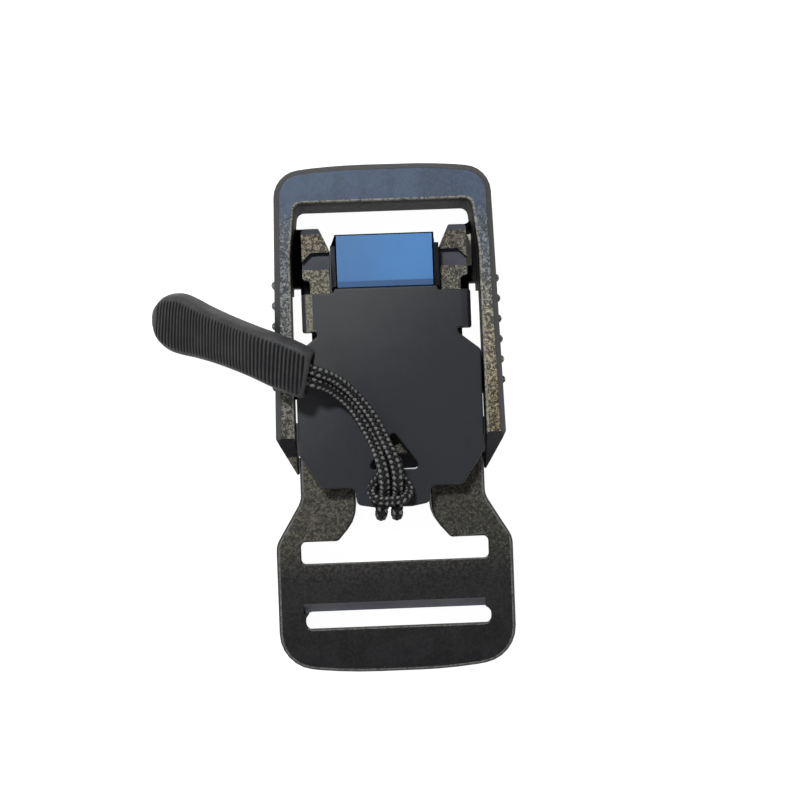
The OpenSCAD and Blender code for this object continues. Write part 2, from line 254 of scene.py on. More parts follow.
class Finish(Protocol):
    """The look of one zone of a piece."""

    def make(self) -> Material:
        """Makes the material."""


@dataclass(frozen=True)
class GrainedNylon:
    """Moulded nylon with a grain of raised, rubbed threads, and painted light and shade that change
    along the buckle.

    Each stop gives a place in mm, the ground's colour and the threads' colour, which also carry
    painted light and shade. The threads fade from rough_mm to calm_mm. A tint towards +X is painted
    light or shade from one side.
    """

    name: str
    stops: Sequence[tuple[float, Colour, Colour]]
    rough_mm: float
    calm_mm: float
    calm: float = 0.25
    # painted light or shade from one side: a tint towards +X, below a place along Y
    side_light_tint: Colour = (1.3, 1.16, 0.86)
    side_light_mm: Pair = (12, 23)
    grain_mm: float = 0.34
    line: Pair = (0.35, 0.85)
    depth_mm: float = 0.05
    roughness: Pair = (0.42, 0.6)
    gloss: float = 0.35

    def make(self) -> Material:
        """Makes the material.

        Returns:
            The material.
        """
        look = Shader(self.name)
        cloud = look.noise(self.grain_mm, detail=1.5, roughness=0.6, warp=0.8)
        off = look.sums("ABSOLUTE", look.sums("SUBTRACT", cloud, 0.5))
        ridge = look.sums("SUBTRACT", look.sums("MULTIPLY", off, -6), -1)
        broken = look.ramp(look.noise(self.grain_mm * 1.7, detail=2), 0.36, 0.56)
        amount = look.ramp(look.where("Y"), self.rough_mm, self.calm_mm, (1, self.calm))
        threads = look.sums("MULTIPLY", look.ramp(ridge, *self.line), broken)
        share = look.sums("MULTIPLY", threads, amount)
        aside = look.ramp(look.where("X"), -14, 14)
        below = look.ramp(look.where("Y"), *self.side_light_mm, (1, 0))
        # where the side's painted light or shade falls
        side_light = look.sums("MULTIPLY", aside, look.sums("MULTIPLY", below, amount))
        patches = look.ramp(look.noise(3.4, detail=3), 0.35, 0.65)
        ground = look.along("Y", [(y, dark) for y, dark, _ in self.stops])
        light = look.along("Y", [(y, thread) for y, _, thread in self.stops])
        flecks = look.blend(side_light, light, look.tint(light, self.side_light_tint))
        even = look.blend(side_light, ground, look.tint(ground, self.side_light_tint))
        uneven = look.blend(look.ramp(patches, 0, 1, (0, 0.3)), even, (0.03, 0.03, 0.032))
        colour = look.blend(share, uneven, flecks)
        fine = look.noise(0.1, detail=1)
        rough = look.ramp(fine, 0.3, 0.7, self.roughness)
        height = look.sums("ADD", share, look.sums("MULTIPLY", fine, 0.25))
        return look.finish(colour, rough, height, self.depth_mm, self.gloss)


@dataclass(frozen=True)
class SmoothPlastic:
    """Plastic from a polished mould, with faint clouds and scuffs."""

    name: str
    base: Colour
    cloud: Colour
    roughness: Pair = (0.3, 0.42)
    depth_mm: float = 0.004
    gloss: float = 0.4

    def make(self) -> Material:
        """Makes the material.

        Returns:
            The material.
        """
        look = Shader(self.name)
        clouds = look.ramp(look.noise(4.5, detail=4, roughness=0.6), 0.35, 0.7)
        skin = look.noise(0.16, detail=3, roughness=0.6)
        colour = look.blend(clouds, self.base, self.cloud)
        uneven = look.sums("MULTIPLY", look.sums("ADD", clouds, skin), 0.5)
        rough = look.ramp(uneven, 0.2, 0.75, self.roughness)
        return look.finish(colour, rough, skin, self.depth_mm, self.gloss)


@dataclass(frozen=True)
class BandedWall:
    """A moulded surface whose shade changes along an axis, with faint streaks."""

    name: str
    bands: Sequence[Band]
    axis: str = "Z"
    dust: Pair = (0, 0.5)
    gloss: float = 0.1

    def make(self) -> Material:
        """Makes the material.

        Returns:
            The material.
        """
        look = Shader(self.name)
        skin = look.noise(0.5, detail=4, roughness=0.7)
        shade = look.along(self.axis, self.bands)
        dull = look.blend(look.ramp(skin, 0.35, 0.65, self.dust), shade, (0.008, 0.008, 0.009))
        rough = look.ramp(skin, 0.3, 0.7, (0.6, 0.75))
        return look.finish(dull, rough, skin, 0.01, self.gloss)


@dataclass(frozen=True)
class PaintedEdgeHighlight:
    """A moulded edge with a painted highlight, pale in ragged spots."""

    name: str
    ground: Colour
    pale: Colour
    spot_mm: float = 0.3
    reach: Pair = (0.38, 0.58)

    def make(self) -> Material:
        """Makes the material.

        Returns:
            The material.
        """
        look = Shader(self.name)
        cloud = look.noise(self.spot_mm, detail=3, roughness=0.65, warp=0.6)
        spots = look.ramp(cloud, *self.reach)
        # the pale spots are the painted highlight
        colour = look.blend(spots, self.ground, self.pale)
        rough = look.ramp(spots, 0, 1, (0.45, 0.65))
        return look.finish(colour, rough, spots, 0.04, 0.3)


@dataclass(frozen=True)
class SatinPlate:
    """Satin plastic of the release plate, with painted light making it paler towards one corner."""

    name: str = "plate satin"
    # painted shade away from the -X, +Y corner, painted light near it
    far: Colour = (0.028, 0.029, 0.034)
    near: Colour = (0.07, 0.07, 0.071)
    gloss: float = 0.3

    def make(self) -> Material:
        """Makes the material.

        Returns:
            The material.
        """
        look = Shader(self.name)
        # painted light: paler towards the corner at -X, +Y
        painted_light_slant = look.sums("SUBTRACT", look.where("Y"), look.where("X"))
        clouds = look.noise(2.4, detail=5, roughness=0.65)
        leaning = look.sums("ADD", painted_light_slant, look.sums("MULTIPLY", clouds, 8))
        skin = look.noise(0.13, detail=3, roughness=0.7)
        speckle = look.ramp(skin, 0.35, 0.7, (0, 0.16))
        share = look.sums("ADD", look.ramp(leaning, 4, 32), speckle)
        colour = look.blend(share, self.far, self.near)
        rough = look.ramp(skin, 0.3, 0.7, (0.42, 0.56))
        return look.finish(colour, rough, skin, 0.012, self.gloss)


@dataclass(frozen=True)
class BlueFace:
    """Satin blue plastic, deeper towards one side and shady at its lower edge."""

    name: str = "blue face"
    deep: Colour = (0.078, 0.207, 0.435)
    bright: Colour = (0.082, 0.265, 0.6)
    shady: Colour = (0.047, 0.125, 0.295)
    shady_mm: Pair = (19.66, 19.78)
    half_mm: float = 6.8

    def make(self) -> Material:
        """Makes the material.

        Returns:
            The material.
        """
        look = Shader(self.name)
        across = look.ramp(look.where("X"), -self.half_mm, 0.5 * self.half_mm)
        clouds = look.noise(2.6, detail=4, roughness=0.65)
        skin = look.noise(0.12, detail=2)
        cloudy = look.sums("MULTIPLY", clouds, 0.3)
        share = look.sums("ADD", look.sums("MULTIPLY", across, 0.7), cloudy)
        blue = look.blend(share, self.deep, self.bright)
        # painted shadow of the plate's lip along the face's lower edge
        sunk = look.ramp(look.where("Y"), *self.shady_mm)
        colour = look.blend(sunk, self.shady, blue)
        rough = look.ramp(clouds, 0.3, 0.7, (0.42, 0.55))
        return look.finish(colour, rough, skin, 0.006)


@dataclass(frozen=True)
class BraidYarn:
    """Filament yarn with a painted highlight on top of the braid, by the attribute "crest", and
    painted shade in its hollows and low on the cord.
    """

    name: str = "braid yarn"
    shaded_hollow: Colour = (0.004, 0.004, 0.005)
    yarn: Colour = (0.008, 0.008, 0.009)
    crest: Colour = (0.2, 0.195, 0.185)
    lit_height_mm: Pair = (7.6, 9.6)

    def make(self) -> Material:
        """Makes the material.

        Returns:
            The material.
        """
        look = Shader(self.name)
        crest = look.add("ShaderNodeAttribute", attribute_name="crest").outputs["Fac"]
        uneven = look.ramp(look.noise(0.5, detail=2), 0.25, 0.6, (0.5, 1))
        filaments = look.noise(0.06, detail=1)
        # painted highlights fade low on the cord: painted shade
        high = look.ramp(look.where("Z"), *self.lit_height_mm, (0.3, 1))
        # how much painted highlight a crest gets, uneven along the cord
        rubbed = look.sums("MULTIPLY", crest, look.sums("MULTIPLY", uneven, high))
        # painted shade in the hollows where a yarn dips under another
        ground = look.blend(look.ramp(crest, 0, 0.3), self.shaded_hollow, self.yarn)
        colour = look.blend(look.ramp(rubbed, 0.34, 0.72), ground, self.crest)
        rough = look.ramp(filaments, 0.3, 0.7, (0.4, 0.6))
        fill(look.surface, Sheen_Weight=0.1, Sheen_Roughness=0.4)
        return look.finish(colour, rough, filaments, 0.02, 0.25)


@dataclass(frozen=True)
class TabRubber:
    """Soft moulded rubber with a dusty bloom and painted shade in the grooves between its ribs."""

    name: str = "tab rubber"
    groove_shade: Colour = (0.003, 0.003, 0.004)
    base: Colour = (0.04, 0.039, 0.04)
    bloom: Colour = (0.066, 0.064, 0.062)

    def make(self) -> Material:
        """Makes the material.

        Returns:
            The material.
        """
        look = Shader(self.name)
        clouds = look.ramp(look.noise(2.2, detail=4, roughness=0.6), 0.35, 0.7)
        skin = look.noise(0.11, detail=2, roughness=0.6)
        crest = look.add("ShaderNodeAttribute", attribute_name="crest").outputs["Fac"]
        top = look.blend(clouds, self.base, self.bloom)
        # painted shade in the grooves, the rib tops keep the rubber's colour
        colour = look.blend(look.ramp(crest, 0.35, 0.8), self.groove_shade, top)
        rough = look.ramp(skin, 0.25, 0.75, (0.48, 0.64))
        return look.finish(colour, rough, skin, 0.01, 0.3)


@dataclass(frozen=True)
class PaleFloor:
    """The matt pale surface under the buckle."""

    name: str = "pale floor"
    shade: Colour = (0.35, 0.35, 0.35)
    glow: float = 0.97

    def make(self) -> Material:
        """Makes the material.

        Returns:
            The material.
        """
        look = Shader(self.name)
        clouds = look.noise(40, detail=2)
        darker = tuple(0.985 * c for c in self.shade)
        look.join(look.blend(clouds, self.shade, darker), look.surface.inputs["Base Color"])
        fill(look.surface, Roughness=0.9, Specular_IOR_Level=0.1)
        fill(look.surface, Emission_Color=(1, 1, 1, 1), Emission_Strength=self.glow)
        return look.material


def show(name: str, data: bpy.types.ID) -> Piece:
    """Puts a mesh, a light or a camera in the scene."""
    shown = bpy.data.objects.new(name, data)
    bpy.context.scene.collection.objects.link(shown)
    return shown


def merged_copy(node: str) -> Mesh:
    """Copies a CAD node's mesh, merges its triangles and joins its flat faces.

    Args:
        node: The node's name.

    Returns:
        The copy.
    """
    bm = bmesh.new()
    bm.from_mesh(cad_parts[node].data)
    bmesh.ops.remove_doubles(bm, verts=bm.verts, dist=0.002 * MM)
    bmesh.ops.dissolve_limit(
        bm, angle_limit=radians(1), use_dissolve_boundaries=False, verts=bm.verts, edges=bm.edges
    )
    return bm


def middle(edge: Edge) -> Vector:
    """The middle of an edge, in mm."""
    return (edge.verts[0].co + edge.verts[1].co) / 2 / MM


def corners(bm: Mesh, keep: Callable[[Edge], bool] = lambda edge: True) -> list[Edge]:
    """Finds the outer corners between faces, where keep says yes."""
    outer = (e for e in bm.edges if e.is_manifold and e.is_convex)
    return [e for e in outer if e.calc_face_angle(0) > CORNER and keep(e)]


def round_off(
    bm: Mesh, edges: list[Edge], width_mm: float, segments: int = 2, held: bool = True
) -> None:
    """Bevels edges.

    Args:
        bm: The mesh.
        edges: The edges.
        width_mm: How far the bevel reaches from each edge.
        segments: How many faces it has.
        held: Whether short edges hold it back.
    """
    bmesh.ops.bevel(
        bm, geom=edges, offset=width_mm * MM, offset_type="OFFSET", affect="EDGES",
        segments=segments, profile=0.5, material=-1, clamp_overlap=held,
    )
    bmesh.ops.dissolve_degenerate(bm, dist=0.004 * MM, edges=bm.edges)


def publish(
    bm: Mesh, name: str, slot: str, node: str, finishes: Sequence[Finish],
    zone: Callable[[Face], int] = lambda face: 0, crease: float = 38, even: bool = True,
) -> Piece:
    """Shades a mesh smoothly, apart from creases, and makes it a piece of the model.

    Args:
        bm: The mesh, which is freed.
        name: The piece's name.
        slot: The record's material slot; not used.
        node: The CAD node that it stands for.
        finishes: Its finishes, in the order of its zones.
        zone: Says which of them a face takes.
        crease: The angle from which an edge stays sharp, in degrees.
        even: Whether large faces set their corners' shading.

    Returns:
        The piece's object.
    """
    for face in bm.faces:
        face.smooth = True
        face.material_index = zone(face)
    for edge in bm.edges:
        edge.smooth = edge.calc_face_angle(0) < radians(crease)
    mesh = bpy.data.meshes.new(name)
    bm.to_mesh(mesh)
    bm.free()
    for finish in finishes:
        mesh.materials.append(finish.make())
    piece = show(name, mesh)
    if even:
        shading = piece.modifiers.new("even shading", "WEIGHTED_NORMAL")
        shading.keep_sharp = True
    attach(piece, "root")
    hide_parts(node)
    LOG.info("%s: %d faces", name, len(mesh.polygons))
    return piece


def swept(
    rows: int, columns: int, place: Callable[[int, int], Vector],
    mark: Callable[[int, int], float] = lambda row, column: 0,
) -> Mesh:
    """Bends a grid into a closed tube and fills its ends.

    Args:
        rows: How many steps it has along its length.
        columns: How many sides it has.
        place: Gives the point at a row and a column.
        mark: Gives the attribute "crest" there.

    Returns:
        The tube.
    """
    bm = bmesh.new()
    bmesh.ops.create_grid(bm, x_segments=rows, y_segments=columns, size=0.5)
    crest = bm.verts.layers.float.new("crest")
    for vert in bm.verts:
        row, column = round((vert.co.x + 0.5) * rows), round((vert.co.y + 0.5) * columns)
        vert.co = place(row, column % columns)
        vert[crest] = mark(row, column % columns)
    bmesh.ops.remove_doubles(bm, verts=bm.verts, dist=0.0005 * MM)
    bmesh.ops.holes_fill(bm, edges=[e for e in bm.edges if e.is_boundary], sides=0)
    bmesh.ops.recalc_face_normals(bm, faces=bm.faces)
    return bm


@dataclass(frozen=True)
class Station:
    """A place on a route: its point, heading, two directions across and thickness."""

    point: Vector
    heading: Vector
    side: Vector
    over: Vector
    share: float


@dataclass
class Route:
    """A smooth line through given points: x, y and z in mm, then the thickness as a share."""

    points: Sequence[Row]
    step: float = 0.094
    levelling: float = 0.15
    finer: int = 24

    def eased(self, i: int, t: float) -> Vector:
        """The point at a share t of the way from point i to the next."""
        last = len(self.points) - 1
        a, b, c, d = (Vector(self.points[min(max(k, 0), last)]) for k in range(i - 1, i + 3))
        bend = 2 * a - 5 * b + 4 * c - d + t * (3 * b - a - 3 * c + d)
        return b + t * (c - a + t * bend) / 2

    def line(self) -> list[Vector]:
        """Points along the route, an even step apart.

        Returns:
            The points, with the thickness last.
        """
        legs, cuts = range(len(self.points) - 1), range(self.finer)
        fine = [self.eased(i, k / self.finer) for i in legs for k in cuts]
        fine.append(Vector(self.points[-1]))
        spans = [(b.xyz - a.xyz).length for a, b in zip(fine, fine[1:])]
        count = round(sum(spans) / self.step)
        step = sum(spans) / count
        made, gone = [fine[0]], 0.0
        for a, b, span in zip(fine, fine[1:], spans):
            while gone + span >= len(made) * step - 1e-6 and len(made) < count:
                made.append(a + (b - a) * (len(made) * step - gone) / span)
            gone += span
        return made + [fine[-1]]

    def stations(self) -> list[Station]:
        """The route's stations, each turned little from the last and towards level.

        Returns:
            The stations, in mm.
        """
        line = self.line()
        ends = [line[0], *line, line[-1]]
        headings = [(b.xyz - a.xyz).normalized() for a, b in zip(ends, ends[2:])]
        side = UP.cross(headings[0]).normalized()
        made = []
        for point, heading in zip(line, headings):
            side = (side - side.dot(heading) * heading).normalized()
            level = UP.cross(heading)
            level = copysign(1, level.dot(side)) * level
            side = (side + self.levelling * level.length**2 * level).normalized()
            made.append(Station(point.xyz, heading, side, heading.cross(side), point.w))
        return made


# Frame grain colours along Y in mm: ground, then threads. Besides the grain they hold painted
# light: darker at the rails' lower ends, palest along the middle, and a bluish painted reflection
# on the top bar.
FRAME_GRAIN_AND_PAINTED_LIGHT = (
    (-7, (0.034, 0.03, 0.026), (0.26, 0.23, 0.17)),
    (1, (0.044, 0.041, 0.037), (0.33, 0.31, 0.25)),
    (6, (0.062, 0.06, 0.057), (0.44, 0.42, 0.36)),
    (14, (0.075, 0.077, 0.08), (0.46, 0.46, 0.43)),
    (26, (0.074, 0.083, 0.098), (0.29, 0.32, 0.35)),
    (31.5, (0.083, 0.118, 0.18), (0.16, 0.2, 0.27)),
)
# Ladder grain colours along Y in mm: ground, then threads. Besides the grain they hold painted
# light and shade: darkest at the bottom bar, paler up the neck, and painted brightest on the
# prongs.
LADDER_GRAIN_AND_PAINTED_LIGHT = (
    (-34, (0.013, 0.011, 0.012), (0.05, 0.046, 0.044)),
    (-22, (0.02, 0.018, 0.018), (0.1, 0.095, 0.085)),
    (-17, (0.042, 0.038, 0.032), (0.17, 0.16, 0.12)),
    (-9, (0.054, 0.05, 0.04), (0.23, 0.215, 0.16)),
    (8, (0.11, 0.1, 0.075), (0.5, 0.46, 0.34)),
    (17, (0.115, 0.105, 0.075), (0.68, 0.62, 0.46)),
    (21, (0.11, 0.1, 0.076), (0.62, 0.57, 0.43)),
    (24, (0.075, 0.063, 0.046), (0.52, 0.46, 0.33)),
)


@dataclass
class FrameShell:
    """The frame: a rail on each side, a top bar, grip ribs and low ledges."""

    edge_mm: float = 0.14
    rim_mm: float = 0.3
    height_mm: float = 8.6
    centre_y_mm: float = 14.0
    ledge_mm: float = 2.0
    ledge_reach_mm: float = 0.3
    lit_mm: Pair = (22.0, 26.6)
    slope_y_mm: float = -2.0
    finishes: tuple[Finish, ...] = (
        GrainedNylon("frame grain", FRAME_GRAIN_AND_PAINTED_LIGHT, rough_mm=27, calm_mm=31.5),
        SmoothPlastic("frame skin", (0.029, 0.029, 0.031), (0.039, 0.038, 0.038)),
        # painted shade on the walls inside the frame and on its ledges: darkest at the foot and
        # near the top, paler between
        BandedWall(
            "frame wall shade",
            (
                (0.5, (0.01, 0.01, 0.012)), (3.2, (0.035, 0.033, 0.03)), (5.6, (0.05, 0.047, 0.04)),
                (6.6, (0.006, 0.006, 0.007)), (8.4, (0.01, 0.01, 0.011)),
            ),
        ),
        # a painted highlight round the window's rim
        PaintedEdgeHighlight("frame rim highlight", (0.09, 0.09, 0.09), (0.42, 0.4, 0.33)),
        SmoothPlastic("frame slope", (0.014, 0.012, 0.016), (0.022, 0.02, 0.024), gloss=0.2),
        # a painted highlight: a pale strip on part of the right ledge
        BandedWall(
            "lit ledge",
            (
                (11.9, (0.05, 0.045, 0.04)), (12.1, (1, 0.96, 0.76)),
                (12.65, (1, 0.96, 0.76)), (12.8, (0.012, 0.012, 0.013)),
            ),
            axis="X", dust=(0, 0.15),
        ),
        BandedWall(
            "frame tip",
            (
                (-7.5, (0.2, 0.185, 0.14)), (-5.1, (0.24, 0.22, 0.165)),
                (-4.7, (0.016, 0.014, 0.018)), (-2, (0.016, 0.014, 0.018)),
            ),
            axis="Y", dust=(0, 0.75), gloss=0.2,
        ),
    )

    def inwards(self, normal: Vector, there: Vector) -> bool:
        """Whether a wall faces the frame's window, from a point on it in mm."""
        return normal.x * there.x + normal.y * (there.y - self.centre_y_mm) < 0

    def rim(self, edge: Edge) -> bool:
        """Whether an edge runs round the window in the top face."""
        wall = min(edge.link_faces, key=lambda f: f.normal.z).normal
        low = min(v.co.z for v in edge.verts) / MM
        return low > self.height_mm - HAIR_MM and self.inwards(wall, middle(edge))

    def zone(self, face: Face) -> Zone:
        """Which finish a face takes.

        Args:
            face: The face.

        Returns:
            Grain on the top, skin outside, a painted highlight on the rim, its own on a slope, wall
            inside with painted shade.
        """
        there = face.calc_center_median() / MM
        if abs(face.normal.z) > FLAT:
            ledge = abs(there.z - self.ledge_mm) < self.ledge_reach_mm
            # part of the right ledge takes a painted highlight, the rest the wall's painted shade
            lit = there.x > 0 and self.lit_mm[0] < there.y < self.lit_mm[1]
            return (Zone.LIT if lit else Zone.WALL) if ledge else Zone.GRAINED
        if face.normal.z < STEEP:
            # walls facing the window take the wall's painted shade
            return Zone.WALL if self.inwards(face.normal, there) else Zone.SMOOTH
        if there.y < self.slope_y_mm and face.normal.y < -0.3:
            return Zone.SLOPE if there.x > 0 else Zone.TIP
        high = there.z > self.height_mm - self.rim_mm - SLACK_MM
        # inward faces of the rim's bevel take a painted highlight
        return Zone.EDGE_HIGHLIGHT if high and self.inwards(face.normal, there) else Zone.SMOOTH

    def split_ledge(self, bm: Mesh) -> None:
        """Splits the right ledge's top, so that part of it takes a painted highlight.

        Args:
            bm: The mesh.
        """
        for y in self.lit_mm:
            flat = (f for f in bm.faces if f.normal.z > FLAT and f.calc_center_median().x > 0)
            tops = (f for f in flat if abs(f.verts[0].co.z / MM - self.ledge_mm) < HAIR_MM)
            parts = list({part for f in tops for part in (f, *f.edges, *f.verts)})
            bmesh.ops.bisect_plane(bm, geom=parts, plane_co=(0, y * MM, 0), plane_no=(0, 1, 0))

    def build(self) -> Piece:
        """Builds the frame.

        Returns:
            The piece.
        """
        bm = merged_copy("frame")
        round_off(bm, corners(bm, self.rim), self.rim_mm)
        round_off(bm, corners(bm, lambda e: middle(e).z > LOW_MM), self.edge_mm)
        self.split_ledge(bm)
        slot = "textured_nylon_frame"
        return publish(bm, "frame_shell", slot, "frame", self.finishes, self.zone)


@dataclass
class LadderLock:
    """The ladder lock: three bars with two webbing slots, a neck and a forked tongue."""

    rim_mm: float = 0.5
    slot_rim_mm: float = 0.24
    edge_mm: float = 0.18
    height_mm: float = 5.6
    neck_y_mm: float = -4.5
    slots_mm: Point = (13.9, -31, -17.2)
    gap_half_mm: float = 9.0
    line_z: float = 0.8
    facet_mm: Pair = (-27.2, -25.7)
    facet_end_mm: Point = (12.5, -27.6, -25.5)
    finishes: tuple[Finish, ...] = (
        # the side tint darkens the ladder's grain towards +X: painted shade on its right-hand side
        GrainedNylon(
            "ladder grain", LADDER_GRAIN_AND_PAINTED_LIGHT, rough_mm=-17, calm_mm=-24, calm=0.2, grain_mm=0.28,
            side_light_tint=(0.68, 0.7, 0.74), side_light_mm=(60, 61), gloss=0.22,
        ),
        SmoothPlastic("ladder skin", (0.08, 0.082, 0.1), (0.098, 0.1, 0.112)),
        SmoothPlastic(
            "ladder wall", (0.012, 0.012, 0.013), (0.018, 0.018, 0.019), (0.6, 0.75), gloss=0.1
        ),
        # a painted highlight line along the ladder's bevels
        PaintedEdgeHighlight("ladder line highlight", (0.05, 0.048, 0.044), (0.17, 0.165, 0.15), 0.5, (0.3, 0.6)),
        SmoothPlastic("ladder bevel", (0.016, 0.015, 0.015), (0.026, 0.024, 0.024), gloss=0.25),
        # a paler copy of the skin for the middle bar's facet: painted light
        SmoothPlastic("ladder facet highlight", (0.14, 0.138, 0.15), (0.16, 0.158, 0.17)),
    )

    def rim(self, edge: Edge) -> bool:
        """Whether an edge is on the top face of the body, and not at an end of the facet."""
        top, there = min(v.co.z for v in edge.verts) / MM > self.height_mm - HAIR_MM, middle(edge)
        half, low, high = self.facet_end_mm
        ends = abs(there.x) > half and low < there.y < high
        return top and there.y < self.neck_y_mm and (self.outside(there) or not ends)

    def left_over(self, edge: Edge) -> bool:
        """Whether an edge is neither on the floor nor on the body's rim."""
        return middle(edge).z > LOW_MM and self.beside(middle(edge))

    def beside(self, there: Vector) -> bool:
        """Whether a point in mm is on the tongue or below the body's bevels."""
        return there.y > self.neck_y_mm or there.z < self.height_mm - self.rim_mm - SLACK_MM

    def outside(self, there: Vector) -> bool:
        """Whether a point in mm is on the body's outline, not round a slot or the gap."""
        half, low, high = self.slots_mm
        beside_gap = there.y > high and abs(there.x) > self.gap_half_mm
        return abs(there.x) > half or there.y < low or beside_gap

    def zone(self, face: Face) -> Zone:
        """Which finish a face takes.

        Args:
            face: The face.

        Returns:
            Grain on the top, a dark bevel with a painted highlight line along its edges, a painted
            highlight on the facet, else skin or wall.
        """
        there = face.calc_center_median() / MM
        up = face.normal.z
        if abs(up) < STEEP:
            return Zone.WALL
        if up < -FLAT or (up > FLAT and there.z > self.height_mm - SLACK_MM):
            return Zone.GRAINED
        if up > FLAT or self.beside(there):
            return Zone.SMOOTH
        # the facet takes a painted highlight
        if abs(face.normal.x) < 0.05 and self.facet_mm[0] < there.y < self.facet_mm[1]:
            return Zone.LIT
        # the pale line on these bevels is a painted highlight
        lined = up > self.line_z if self.outside(there) else face.normal.y > 0.25
        return Zone.EDGE_HIGHLIGHT if lined else Zone.SLOPE

    def build(self) -> Piece:
        """Builds the ladder lock.

        Returns:
            The piece.
        """
        bm = merged_copy("ladder_lock")
        outer = corners(bm, lambda e: self.rim(e) and self.outside(middle(e)))
        round_off(bm, outer, self.rim_mm, 3, held=False)
        inner = corners(bm, lambda e: self.rim(e) and not self.outside(middle(e)))
        round_off(bm, inner, self.slot_rim_mm, held=False)
        round_off(bm, corners(bm, self.left_over), self.edge_mm)
        slot = "textured_nylon_ladder"
        return publish(bm, "ladder_lock_body", slot, "ladder_lock", self.finishes, self.zone)


@dataclass
class MagnetSeat:
    """The magnet's carrier and its blue face."""

    foot_mm: Pair = (1.9, 0.45)
    carrier_edge_mm: float = 0.12
    face_edge_mm: float = 0.08
    finishes: tuple[Finish, Finish] = (
        SmoothPlastic("carrier plastic", (0.012, 0.012, 0.016), (0.02, 0.02, 0.026)), BlueFace()
    )

    def spread(self, bm: Mesh) -> None:
        """Spreads the carrier's foot, so that nothing shows through beside it."""
        height, reach = self.foot_mm
        parts = [*bm.verts, *bm.edges, *bm.faces]
        bmesh.ops.bisect_plane(bm, geom=parts, plane_co=(0, 0, height * MM), plane_no=UP)
        low = min(v.co.z for v in bm.verts)
        for vert in bm.verts:
            if vert.co.z < low + HAIR_MM * MM:
                vert.co.x += copysign(reach * MM, vert.co.x)

    def build(self) -> list[Piece]:
        """Builds both pieces.

        Returns:
            The carrier and the face.
        """
        carrier = merged_copy("magnet_carrier")
        self.spread(carrier)
        round_off(carrier, corners(carrier), self.carrier_edge_mm)
        face = merged_copy("magnet_face")
        round_off(face, corners(face), self.face_edge_mm)
        names = ("magnet_carrier_body", "carrier_plastic", "magnet_carrier")
        body = publish(carrier, *names, self.finishes[:1])
        names = ("magnet_face_insert", "blue_face", "magnet_face")
        return [body, publish(face, *names, self.finishes[1:])]


@dataclass
class ReleasePlate:
    """The plate that is pulled by the cord, with two ears and a cord hole."""

    top_mm: float = 8.1
    rim_mm: float = 0.26
    edge_mm: float = 0.14
    slope_mm: float = 10.0
    glint_mm: Point = (5.0, -7.23, -6.83)
    ear_mm: Pair = (12.65, 18.05)
    finishes: tuple[Finish, ...] = (
        SatinPlate(),
        # a painted highlight on the left ear's slope
        PaintedEdgeHighlight("plate ear highlight", (0.1, 0.095, 0.08), (0.34, 0.32, 0.25), 0.22),
        # a painted glint along the cord hole's lower edge, white towards its right corner
        BandedWall(
            "hole glint",
            ((0.6, (0.03, 0.03, 0.034)), (1.3, (0.8, 0.8, 0.8)), (4, (1, 1, 1))),
            axis="X", dust=(0, 0.2),
        ),
    )

    def zone(self, face: Face) -> int:
        """Which finish a face takes.

        Args:
            face: The face.

        Returns:
            1 for a painted highlight on the gentle slope of one ear, 2 for a painted glint on the
            edge of the cord hole, else 0.
        """
        there, up = face.calc_center_median() / MM, face.normal.z
        low, high = self.ear_mm
        # only the left ear's slope takes the painted highlight
        if 0.9 < up < 0.985 and there.x < -self.slope_mm and low < there.y < high:
            return 1
        # the cord hole's edge takes the painted glint
        half, low, high = self.glint_mm
        edge = abs(there.x) < half and low < there.y < high
        return 2 if edge and up < 0.95 and there.z > self.top_mm - self.rim_mm - SLACK_MM else 0

    def build(self) -> Piece:
        """Builds the plate.

        Returns:
            The piece.
        """
        bm = merged_copy("release_plate")
        round_off(bm, corners(bm, lambda e: middle(e).z > self.top_mm - HAIR_MM), self.rim_mm, 3)
        round_off(bm, corners(bm), self.edge_mm)
        slot = "plate_satin"
        return publish(bm, "release_plate_body", slot, "release_plate", self.finishes, self.zone)


